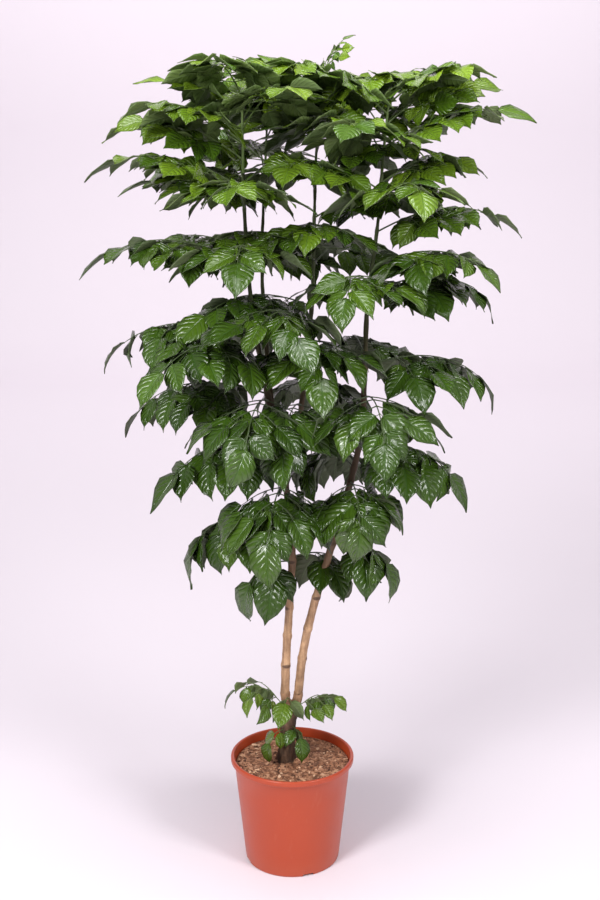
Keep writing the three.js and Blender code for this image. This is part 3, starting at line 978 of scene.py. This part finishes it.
def bladeVariant(number):  # one leaflet, one metre long, from its base along +Y, face up
    pick = random.Random(number)
    limp = number / (blade["variants"] - 1)
    bend = math.radians(lerp(blade["flattest"], blade["limpest"], limp) * pick.uniform(0.85, 1.15))
    fold = math.radians(pick.uniform(3, 16))
    wave = pick.uniform(0.012, 0.034)
    waves = pick.uniform(1.4, 2.4)
    phase = pick.uniform(0, math.tau)
    twist = math.radians(pick.uniform(-20, 20))
    sway = pick.uniform(-0.06, 0.06)
    rows = len(blade["outline"]) - 1
    bm = bmesh.new()
    maps = bm.loops.layers.uv.new("leafMap")
    bmesh.ops.create_grid(bm, x_segments=blade["across"], y_segments=rows, size=0.5, calc_uvs=True)
    for face in bm.faces:
        for loop in face.loops:
            loop[maps].uv.y = blade["outline"][round(loop[maps].uv.y * rows)][0]
    for vert in bm.verts:
        side = vert.co.x * 2
        share, half = blade["outline"][round((vert.co.y + 0.5) * rows)]
        reach = side * half * blade["width"] / 2
        x = reach * math.cos(fold)
        lift = abs(reach) * math.sin(fold)
        lift += wave * abs(side) * math.sin(share * waves * math.tau + phase + side)
        roll = twist * share
        x, lift = x * math.cos(roll) - lift * math.sin(roll), x * math.sin(roll) + lift * math.cos(roll)
        turn = bend * share
        back = math.sin(turn) / bend
        drop = (1 - math.cos(turn)) / bend
        vert.co = (x + sway * share ** 2, back + lift * math.sin(turn), lift * math.cos(turn) - drop)
    bmesh.ops.remove_doubles(bm, verts=bm.verts[:], dist=1e-5)
    top = bm.faces[:]
    shell = bmesh.ops.solidify(bm, geom=top, thickness=blade["thickness"])["geom"]
    under = {face for face in shell if isinstance(face, bmesh.types.BMFace)} - set(top)
    for face in bm.faces:
        face.smooth = face in under or face in top
        face.material_index = 0 if face in top else 1
    bm.verts.layers.float.new("tone")
    bm.verts.layers.float.new("youth")
    mesh = bpy.data.meshes.new("blade")
    bm.to_mesh(mesh)
    bm.free()
    return mesh


def leafAxes(leaf, share):
    heading = math.radians(leaf["heading"])
    climb = math.radians(leaf["rise"] - leaf["droop"] * share ** growth["droopPower"])
    level = Vector((math.cos(heading), math.sin(heading), 0))
    along = level * math.cos(climb) + Vector((0, 0, math.sin(climb)))
    left = Vector((-math.sin(heading), math.cos(heading), 0))
    return along, left, along.cross(left)


def spinePoints(leaf, steps=12):
    points = [leaf["base"]]
    for i in range(steps):
        along = leafAxes(leaf, (i + 0.5) / steps)[0]
        points.append(points[-1] + along * leaf["length"] / steps)
    return points


def onPath(points, share):
    place = clamp(share) * (len(points) - 1)
    step = min(int(place), len(points) - 2)
    return points[step].lerp(points[step + 1], place - step)


def lowered(direction, degrees):
    angle = math.radians(degrees)
    return (direction * math.cos(angle) - Vector((0, 0, math.sin(angle)))).normalized()


def turned(along, left, degrees):
    angle = math.radians(degrees)
    return along * math.cos(angle) + left * math.sin(angle)


def addLeaflet(bm, tubes, leaf, spot, along, left, up, angle, size, pick):
    hang = leaf["hang"] * pick.uniform(0.6, 1.3) * (growth["endHang"] if angle == 0 else 1)
    hang += pick.uniform(-10, 10)
    angle += pick.uniform(-9, 9)
    direction = lowered(turned(along, left, angle), hang)
    length = leaf["leaflet"] * size * pick.uniform(0.88, 1.12)
    base = spot + direction * length * 0.1
    thick, thin = growth["leafletRadii"]
    tubes.append([(spot, thick), (base + direction * length * 0.03, thin)])
    roll = Matrix.Rotation(math.radians(pick.gauss(0, growth["roll"])), 3, direction)
    normal = roll @ (up - direction * up.dot(direction)).normalized()
    across = direction.cross(normal)
    matrix = Matrix((across, direction, normal)).transposed().to_4x4()
    matrix = Matrix.Translation(base) @ matrix @ Matrix.Scale(length, 4)
    tones = {"tone": pick.random(), "youth": clamp(leaf["youth"] + pick.uniform(-0.1, 0.1))}
    kind = round(clamp(pick.gauss(leaf["limp"], growth["limpSpread"])) * (len(blades) - 1))
    addToned(bm, blades[kind], matrix, tones)


def taperedTube(points, thick, thin):
    return [(point, lerp(thick, thin, i / (len(points) - 1))) for i, point in enumerate(points)]


def growSide(bm, tubes, leaf, points, plan, side, pick):  # one side stalk with its leaflets
    at, angle, share, pairs = plan
    along, left, up = leafAxes(leaf, at)
    direction = turned(along, left, side * (angle + pick.uniform(-5, 5)))
    stride = share * leaf["length"] / growth["sideSteps"]
    path = [onPath(points, at)]
    for step in range(growth["sideSteps"]):
        drop = leaf["sideDroop"] * (0.4 + 0.35 * step)
        path.append(path[-1] + lowered(direction, drop) * stride)
    tubes.append(taperedTube(path, *growth["sideRadii"]))
    sideAlong = lowered(direction, leaf["sideDroop"] * 1.3)
    sideLeft = up.cross(sideAlong).normalized()
    axes = (sideAlong, sideLeft, sideAlong.cross(sideLeft))
    for place in (0.36, 0.76) if pairs > 1 else (0.5,):
        for flank in (1, -1):
            size = lerp(0.78, 0.88, place)
            addLeaflet(bm, tubes, leaf, onPath(path, place), *axes,
                       flank * growth["sideAngle"], size, pick)
    addLeaflet(bm, tubes, leaf, path[-1], *axes, 0, 0.95, pick)


def growLeaf(bm, tubes, leaf, pick):
    points = spinePoints(leaf)
    tubes.append(taperedTube(points, leaf["stalk"], leaf["stalk"] * 0.5))
    for at, angle, size in leaf["plan"]["leaflets"]:
        addLeaflet(bm, tubes, leaf, onPath(points, at), *leafAxes(leaf, at), angle, size, pick)
    for plan in leaf["plan"]["sides"]:
        for side in (1, -1):
            growSide(bm, tubes, leaf, points, plan, side, pick)


def makeFoliage(name, node, slot, leaves, axis=None):  # one leaf, or a shoot with several
    pick = random.Random(name)
    bm = bmesh.new()
    bm.loops.layers.uv.new("leafMap")
    bm.verts.layers.float.new("tone")
    bm.verts.layers.float.new("youth")
    tubes = [axis] if axis else []
    for leaf in leaves:
        growLeaf(bm, tubes, leaf, pick)
    stalks = bmesh.new()
    stalks.from_mesh(tubesMesh(tubes, 1))
    youth = stalks.verts.layers.float.new("youth")
    for vert in stalks.verts:
        vert[youth] = leaves[0]["youth"]
    for face in stalks.faces:
        face.material_index = 2
        face.smooth = True
    mesh = bpy.data.meshes.new("stalks")
    stalks.to_mesh(mesh)
    stalks.free()
    bm.from_mesh(mesh)
    piece = newObject(name, bm, [paints["leafTop"], paints["leafUnder"], paints["stalk"]])
    present(piece, slot, node)


blades = [bladeVariant(number) for number in range(blade["variants"])]


def crownLeaf(stem, height, heading, length):
    age = clamp((height - leafHeights["lowest"]) / leafHeights["span"])
    youth = clamp((height - youthHeights["lowest"]) / youthHeights["span"])
    leaf = {
        "base": stemPoint(stems[stem]["points"], height),
        "heading": heading,
        "length": length,
        "plan": fullPlan if length > growth["fullLength"] else shortPlan,
        "stalk": 0.0019,
        "youth": youth ** youthHeights["power"],
    }
    for key, (lowest, highest) in crownShape.items():
        leaf[key] = lerp(lowest, highest, age ** 2 if key == "rise" else age)
    return leaf


def shortLeaf(stem, height, heading, length, rise, droop, leaflet):
    return {
        "base": stemPoint(stems[stem]["points"], height),
        "heading": heading,
        "length": length,
        "rise": rise,
        "droop": droop,
        "leaflet": leaflet,
        "hang": 24 if height > 1 else 48,
        "sideDroop": 14,
        "stalk": 0.0012,
        "youth": 1.0 if height > 1 else 0.55,
        "limp": 0.5,
        "plan": budPlan if length > growth["budLength"] else sprigPlan,
    }


forkTop, shootStart = 0.386, 1.500
makeTrunkBase()
nodeHeights = {key: [row[1] for row in crownLeaves if row[0] == key] for key in stems}
scars = {"left": [0.452, 0.521, 0.585, 0.640], "right": [0.470, 0.540, 0.612, 0.668]}
makeStem("left", "leftStem", "left_stem", forkTop, shootStart, nodeHeights["left"] + scars["left"])
makeStem("right", "rightStem", "right_stem", forkTop, shootStart, nodeHeights["right"] + scars["right"])
makeStem("rear", "rearBranch", "rear_branch", 0.985, shootStart, nodeHeights["rear"])
makeStem("middle", "middleBranch", "middle_branch", 0.860, shootStart, nodeHeights["middle"])
print("stems ready")

numbers = {}
for row in crownLeaves:
    numbers[row[0]] = numbers.get(row[0], 0) + 1
    number = f"{numbers[row[0]]:02d}"
    makeFoliage(f"{row[0]}Leaf{number}", f"{row[0]}_leaf_{number}", "leaf", [crownLeaf(*row)])
print("crown leaves ready")

for key in ("left", "rear", "middle", "right"):
    leaves = [crownLeaf(*row) for row in shootLeaves if row[0] == key]
    leaves += [shortLeaf(*row) for row in youngestLeaves if row[0] == key]
    top = stems[key]["points"][-1][2]
    axis = stemTube(stems[key], shootStart, top, 0.012)
    makeFoliage(f"{key}TipShoot", f"{key}_tip_shoot", "young_leaf", leaves, axis)
for i, row in enumerate(basalLeaves, 1):
    makeFoliage(f"basalLeaf{i}", f"basal_leaf_{i}", "young_leaf", [shortLeaf(*row)])
print("shoots and basal leaves ready")
